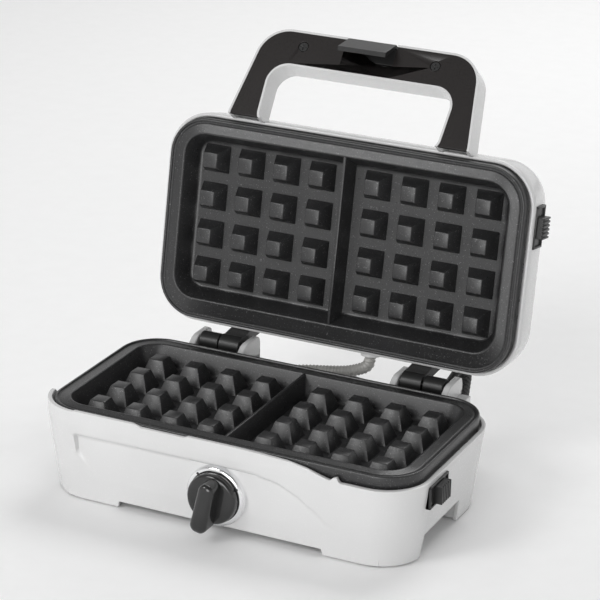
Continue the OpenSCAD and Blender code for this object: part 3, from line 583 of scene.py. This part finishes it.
def insideBy(points, x, z):
    # distance to the outline, positive inside
    nearest, inside = 1e9, False
    count = len(points)
    for i in range(count):
        ax, az = points[i]
        bx, bz = points[(i + 1) % count]
        dx, dz = bx - ax, bz - az
        t = max(0.0, min(1.0, ((x - ax) * dx + (z - az) * dz) / (dx * dx + dz * dz)))
        nearest = min(nearest, math.hypot(x - ax - t * dx, z - az - t * dz))
        if (az > z) != (bz > z) and x < ax + (z - az) * dx / dz:
            inside = not inside
    return nearest if inside else -nearest


def bottomEdge(x, y):
    # height of the shell's lower edge round the feet
    if y < base["frontFootY"]:
        return base["frontLift"] if abs(x) < base["footX"] and y < -50 else 1.0
    if y > base["rearFootY"]:
        return base["sideLift"] if abs(x) < base["rearFootX"] else 1.0
    return base["sideLift"]


def baseWall(share):
    # share runs from 0 at the lower edge to 1 at the upper
    def warp(x, y, z):
        low = bottomEdge(x, y)
        high = base["rim"]
        front = y < -58 and abs(x) < 101
        if front:
            high += between(base["lip"], x)
        elif x < 0 and y < base["lipEnd"]:
            t = min(1.0, (base["lipEnd"] - y) / 9.0)
            high += 8.4 * t * t * (3 - 2 * t)
        z = low + (high - low) * share
        lean = base["lean"] * (1 - min(z, base["rim"]) / base["rim"])
        scaleX = (base["width"] / 2 - lean) / (base["width"] / 2)
        scaleY = (base["depth"] / 2 - lean) / (base["depth"] / 2)
        x2, y2 = x * scaleX, y * scaleY
        if front and y2 < base["panelY"]:
            depth = insideBy(base["hollow"], x2, z)
            t = max(0.0, min(1.0, depth / base["panelSoft"] + 0.5))
            t = t * t * (3 - 2 * t)
            y2 += (base["panelY"] - y2) * t
        return Vector((x2, y2, z))
    return warp


def buildBaseShell():
    bm = bmesh.new()
    edges = roundedLoop(bm, base["width"], base["depth"], base["corner"], 14, 167, 70)
    levels = 44
    for i in range(levels + 1):
        if i:
            edges = ringAfter(bm, edges)
        placeLoop(bm, edges, base["width"], base["depth"], base["corner"], 0.0, 0.0, baseWall(i / levels))
    shell = finishMesh(bm, "baseShell", whiteShell, "base", toRow, ("base_housing",), sharp=50.0)
    thick = shell.modifiers.new("wall", "SOLIDIFY")
    thick.thickness = base["wall"] * 0.001
    thick.offset = -1.0
    edge = shell.modifiers.new("rimEdge", "BEVEL")
    edge.width = 0.0006
    edge.segments = 2
    edge.limit_method = "ANGLE"
    edge.angle_limit = math.radians(60)


buildBaseShell()


def buildBaseFittings():
    # ledge and feet, one moulding with the shell; the hinge towers and cord outlet are built in buildTowers
    bm = bmesh.new()
    profiledShell(bm, 259.0, 138.0, 28.5, [(0.4, 48.5), (6.0, 48.5), (6.0, 51.0), (0.4, 51.0)], 10)
    for sx in (-1, 1):
        for lowY, highY, nearX in ((-64.0, base["frontFootY"], base["footX"]),
                                   (base["rearFootY"], 64.0, base["rearFootX"])):
            addBox(bm, (min(sx * nearX, sx * 108.0), lowY + 0.8 if lowY < 0 else lowY, 1.0),
                   (max(sx * nearX, sx * 108.0), highY if lowY < 0 else highY - 0.8, 15.6), 0.6)
            addBox(bm, (min(sx * 96.0, sx * 123.4), lowY + 22.0 if lowY < 0 else lowY, 1.0),
                   (max(sx * 96.0, sx * 123.4), highY if lowY < 0 else highY - 22.0, 15.6), 0.6)
            addLathe(bm, alongAxis((sx * 99.0, lowY + 24.5 if lowY < 0 else highY - 24.5, 1.0), (0, 0, 1)),
                     [(23.8, 0.0), (24.4, 0.6), (24.4, 14.6)], 64)
    finishMesh(bm, "baseInside", whiteShell, "base", toRow, (), sharp=35.0)


tower = {"cheekIn": 53.06, "cheekWidth": 4.5, "cheekOut": 89.56, "front": 66.0, "back": 98.0,
         "deckLow": 44.0, "deckTop": 51.5}


def addCheek(bm, x0, x1):
    outline = [(67.0, 45.0), (97.0, 44.2), (98.0, 46.0), (98.0, 59.0), (97.0, 62.0), (94.0, 63.5),
               (79.5, 63.5), (76.0, 62.4), (67.0, 56.0)]
    verts = [bm.verts.new((x0, y, z)) for y, z in outline]
    face = bm.faces.new(verts)
    made = bmesh.ops.extrude_face_region(bm, geom=[face])["geom"]
    bmesh.ops.translate(bm, vec=(x1 - x0, 0, 0), verts=[v for v in made if isinstance(v, bmesh.types.BMVert)])


def buildTowers():
    bm = bmesh.new()
    for sx in (-1, 1):
        a, b = sorted((sx * tower["cheekIn"], sx * (tower["cheekOut"] + tower["cheekWidth"])))
        addBox(bm, (a, tower["front"], tower["deckLow"]), (b, tower["back"], tower["deckTop"]))
        addBox(bm, (a, tower["back"] - 3, tower["deckTop"] - 1), (b, tower["back"], tower["deckTop"] + 3.5))
        for near in (tower["cheekIn"], tower["cheekOut"]):
            addCheek(bm, *sorted((sx * near, sx * (near + tower["cheekWidth"]))))
    addBox(bm, (83, 65.5, 36), (101, 96, 51.5))
    finishMesh(bm, "hingeTowers", whiteShell, "base", toRow, (), 0.9, 3)


buildBaseFittings()
buildTowers()
print("base made")


# lid shell

lid = {"width": 262.0, "depth": 142.0, "corner": 30.0, "shiftY": 1.5,
       "profile": [(2.6, 76.0), (2.6, 70.4), (2.3, 69.4), (1.6, 69.0), (0.9, 69.0), (0.3, 69.3), (0.0, 70.0),
                   (0.4, 76.0), (1.0, 84.0), (1.7, 91.0), (2.5, 96.0), (3.6, 99.6), (5.2, 102.4),
                   (7.4, 104.7), (10.2, 106.5), (13.6, 107.8), (17.6, 108.6), (23.0, 109.0)],
       "ledge": [(0.6, 73.4), (6.0, 73.4), (6.0, 75.9), (0.6, 75.9)]}


def buildLidShell():
    bm = bmesh.new()
    profiledShell(bm, lid["width"], lid["depth"], lid["corner"], lid["profile"], 16, capEnd=True,
                  shiftY=lid["shiftY"])
    profiledShell(bm, lid["width"] - 3, lid["depth"] - 3, lid["corner"] - 1.5, lid["ledge"], 10,
                  shiftY=lid["shiftY"])
    finishMesh(bm, "lidShell", whiteShell, "lid", toLid, ("lid_housing",), sharp=50.0, recalc=True)


buildLidShell()
print("lid made")


# handle and latch

softened("handle_shell", "handleShell", whiteShell, "lid", 0.7, 3)
softened("handle_insert", "handleInsert", gripSatin, "lid", 0.35, 2)
softened("handle_screws", "handleScrews", blackSatin, "lid", 0.15, 2)
softened("latch_lever", "latchLever", blackSatin, "latch", 0.4, 2)
softened("latch_pin", "latchPin", steelPlain, "lid", 0.2, 2)
print("handle made")


# buttons

release = {"x": 131.0, "y": -29.0, "z": 43.0, "length": 28.0, "height": 15.0}


def buildButtonFrame(name, node, body, place):
    bm = bmesh.new()
    y, z = release["y"], release["z"]
    halfL, halfH = release["length"] / 2 - 0.1, release["height"] / 2 - 0.1
    addBox(bm, (128.4, y - halfL, z - halfH), (130.9, y + halfL, z + halfH), 0.3)
    for low, high in (((-halfL, -halfH), (halfL, -halfH + 1.4)), ((-halfL, halfH - 1.4), (halfL, halfH)),
                      ((-halfL, -halfH), (-halfL + 1.5, halfH)), ((halfL - 1.5, -halfH), (halfL, halfH))):
        addBox(bm, (128.4, y + low[0], z + low[1]), (131.9, y + high[0], z + high[1]), 0.35)
    finishMesh(bm, name, blackSatin, body, place, (node,), sharp=35.0)


buildButtonFrame("baseButtonFrame", "base_button_frame", "base", toRow)
buildButtonFrame("lidButtonFrame", "lid_button_frame", "lid", toUpper)
softened("base_button", "baseButton", blackSatin, "base_release", 0.5, 3)
softened("lid_button", "lidButton", blackSatin, "lid_release", 0.5, 3)
print("buttons made")


# dial

dial = {"z": 26.5, "floorY": -66.5, "turn": 12.0,
        "ring": [(19.9, 0.0), (19.9, 2.4), (19.6, 3.4), (19.0, 4.1), (18.2, 4.45), (17.2, 4.5), (16.4, 4.3),
                 (16.1, 3.6), (16.1, 0.0)],
        "disc": [(15.0, 1.6), (15.6, 2.2), (15.6, 4.7), (16.5, 4.9), (16.6, 5.4), (16.4, 8.4), (15.9, 9.4),
                 (14.9, 9.9), (12.5, 10.1), (4.0, 10.2)],
        "gripTail": (11.4, -18.8), "gripHead": (10.2, 15.0), "gripLow": 9.0, "gripSoft": 4.6}


def buildDialRing():
    bm = bmesh.new()
    front = alongAxis((0, dial["floorY"], dial["z"]), (0, -1, 0))
    addLathe(bm, front, dial["ring"], 96)
    finishMesh(bm, "dialRing", brightRing, "base", toRow, ("dial_ring",), sharp=60.0)


def buildDialMarks():
    bm = bmesh.new()
    for angle in (62.0, -40.0):
        made = addBox(bm, (-0.7, -4.75, 16.6), (0.7, -4.2, 18.4), 0.1)
        bmesh.ops.rotate(bm, cent=(0, 0, 0), matrix=Matrix.Rotation(math.radians(angle), 3, "Y"), verts=made)
        bmesh.ops.translate(bm, vec=(0, dial["floorY"], dial["z"]), verts=made)
    finishMesh(bm, "dialMarks", blackSatin, "base", toRow, ())


def buildKnob():
    bm = bmesh.new()
    front = alongAxis((0, dial["floorY"], dial["z"]), (0, -1, 0))
    addLathe(bm, front, dial["disc"], 96)
    grip = bmesh.ops.create_grid(bm, x_segments=1, y_segments=1, size=0.5)["verts"]
    for v in grip:
        width, reach = dial["gripTail"] if v.co.y < 0 else dial["gripHead"]
        v.co = Vector((v.co.x * width, reach, dial["gripLow"]))
    face = grip[0].link_faces[0]
    bmesh.ops.bevel(bm, geom=list(face.verts), offset=dial["gripSoft"], offset_type="OFFSET", segments=8,
                    profile=0.5, affect="VERTICES", material=-1)
    flat = [f for f in bm.faces
            if len(f.verts) > 30 and abs(f.calc_center_median().z - dial["gripLow"]) < 0.01]
    face = min(flat, key=lambda f: f.calc_area())
    ring = list(face.verts)
    edges = list(face.edges)
    bmesh.ops.delete(bm, geom=[face], context="FACES_ONLY")
    every = list(ring)
    for inset, height in ((0.0, 18.6), (0.25, 20.0), (0.9, 21.0), (2.0, 21.5)):
        edges = ringAfter(bm, edges)
        ring = list({v for e in edges for v in e.verts})
        for v in ring:
            centreY = max(-14.0, min(10.0, v.co.y))
            away = Vector((v.co.x, v.co.y - centreY, 0.0))
            v.co = Vector((0, centreY, height)) + away * max(0.0, 1 - inset / max(away.length, 0.1))
        every += ring
    bmesh.ops.contextual_create(bm, geom=edges)
    turn = (Matrix.Translation((0, dial["floorY"], dial["z"])) @ Matrix.Rotation(math.radians(90), 4, "X")
            @ Matrix.Rotation(math.radians(-dial["turn"]), 4, "Z"))
    bmesh.ops.transform(bm, matrix=turn, verts=every)
    finishMesh(bm, "knob", knobGloss, "dial", toRow, ("dial",), sharp=40.0)


buildDialRing()
buildDialMarks()
buildKnob()
print("dial made")


# hinge, feet, inside

for side in ("left", "right"):
    softened("hinge_bracket_" + side, "hingeBracket" + side.capitalize(), blackSatin, "base", 0.7, 3)
    softened("lid_arm_" + side, "lidArm" + side.capitalize(), blackSatin, "lid", 0.8, 3)
softened("bottom_cover", "bottomCover", whiteShell, "base", 0.3, 2)
softened("foot_pads", "footPads", cordRubber, "base", 0.25, 2)
softened("sleeve_gland_base", "sleeveGlandBase", blackSatin, "base", 0.4, 2)
softened("sleeve_gland_lid", "sleeveGlandLid", whiteShell, "lid", 0.4, 2)


def buildBoot():
    # ribbed strain relief
    bm = bmesh.new()
    profile = [(7.5, 0.0), (7.5, 2.4), (6.9, 3.0)]
    for i in range(6):
        at = 3.6 + i * 3.8
        wide = 6.1 - i * 0.28
        profile += [(wide, at), (wide, at + 2.3), (wide - 0.9, at + 2.8), (wide - 0.9, at + 3.4)]
    profile += [(4.4, 26.8), (4.2, 28.0)]
    addLathe(bm, alongAxis(mainsLead["outlet"], bootWay), profile, 40)
    finishMesh(bm, "cordBoot", cordRubber, "base", toRow, ("strain_relief",), sharp=40.0)


buildBoot()

steelNodes = ["hinge_pins", "cover_screws", "arm_screws", "lower_tray", "upper_tray", "lower_heater",
              "upper_heater", "base_button_spring", "lid_button_spring", "latch_spring", "dial_shaft"]
inside = {node: steelPlain for node in steelNodes}
inside["thermostat"] = plainGrey
inside["terminal_block"] = whiteShell
for node, material in inside.items():
    nodes[node].data.materials.clear()
    nodes[node].data.materials.append(material)
print("hinge and inside made")


# floor and light

studio = {"floorColour": (0.95, 0.95, 0.95), "horizon": 0.95, "zenith": 0.25,
          "lamps": [("keyLight", (-0.75, -1.3, 1.15), (0.0, 0.0, 0.08), 9.0, 0.6),
                    ("frontLight", (0.1, -2.0, 0.5), (0.0, 0.0, 0.14), 12.0, 0.9),
                    ("backLight", (0.1, 1.3, 1.6), (0.0, 0.1, 0.0), 20.0, 1.2)]}


def buildFloor():
    bm = bmesh.new()
    bmesh.ops.create_grid(bm, x_segments=1, y_segments=1, size=9.0)
    mesh = bpy.data.meshes.new("floor")
    bm.to_mesh(mesh)
    bm.free()
    material, tree, shader = newMaterial("floorPaper")
    grain = noiseNode(tree, 60.0, 3.0)
    lighter = tuple(c * 1.02 for c in studio["floorColour"])
    tone = rampNode(tree, grain.outputs["Fac"], (studio["floorColour"], lighter))
    tree.links.new(tone.outputs["Color"], shader.inputs["Base Color"])
    shader.inputs["Roughness"].default_value = 0.9
    shader.inputs["Specular IOR Level"].default_value = 0.1
    mesh.materials.append(material)
    floor = bpy.data.objects.new("floor", mesh)
    bpy.context.scene.collection.objects.link(floor)


def buildLights():
    world = bpy.data.worlds.new("studio")
    world.use_nodes = True
    tree = world.node_tree
    place = tree.nodes.new("ShaderNodeTexCoord")
    split = tree.nodes.new("ShaderNodeSeparateXYZ")
    fade = rangeNode(tree, split.outputs["Z"], studio["horizon"], studio["zenith"], 0.0, 0.7)
    tree.links.new(place.outputs["Generated"], split.inputs["Vector"])
    tree.links.new(fade.outputs["Result"], tree.nodes["Background"].inputs["Strength"])
    tree.nodes["Background"].inputs["Color"].default_value = (1.0, 1.0, 1.0, 1.0)
    bpy.context.scene.world = world
    for name, spot, aim, power, size in studio["lamps"]:
        data = bpy.data.lights.new(name, "AREA")
        data.energy = power
        data.size = size
        lamp = bpy.data.objects.new(name, data)
        lamp.location = spot
        lamp.rotation_euler = (Vector(aim) - Vector(spot)).to_track_quat("-Z", "Y").to_euler()
        bpy.context.scene.collection.objects.link(lamp)
    bpy.context.scene.view_settings.view_transform = "Standard"


buildFloor()
buildLights()
print("studio made")
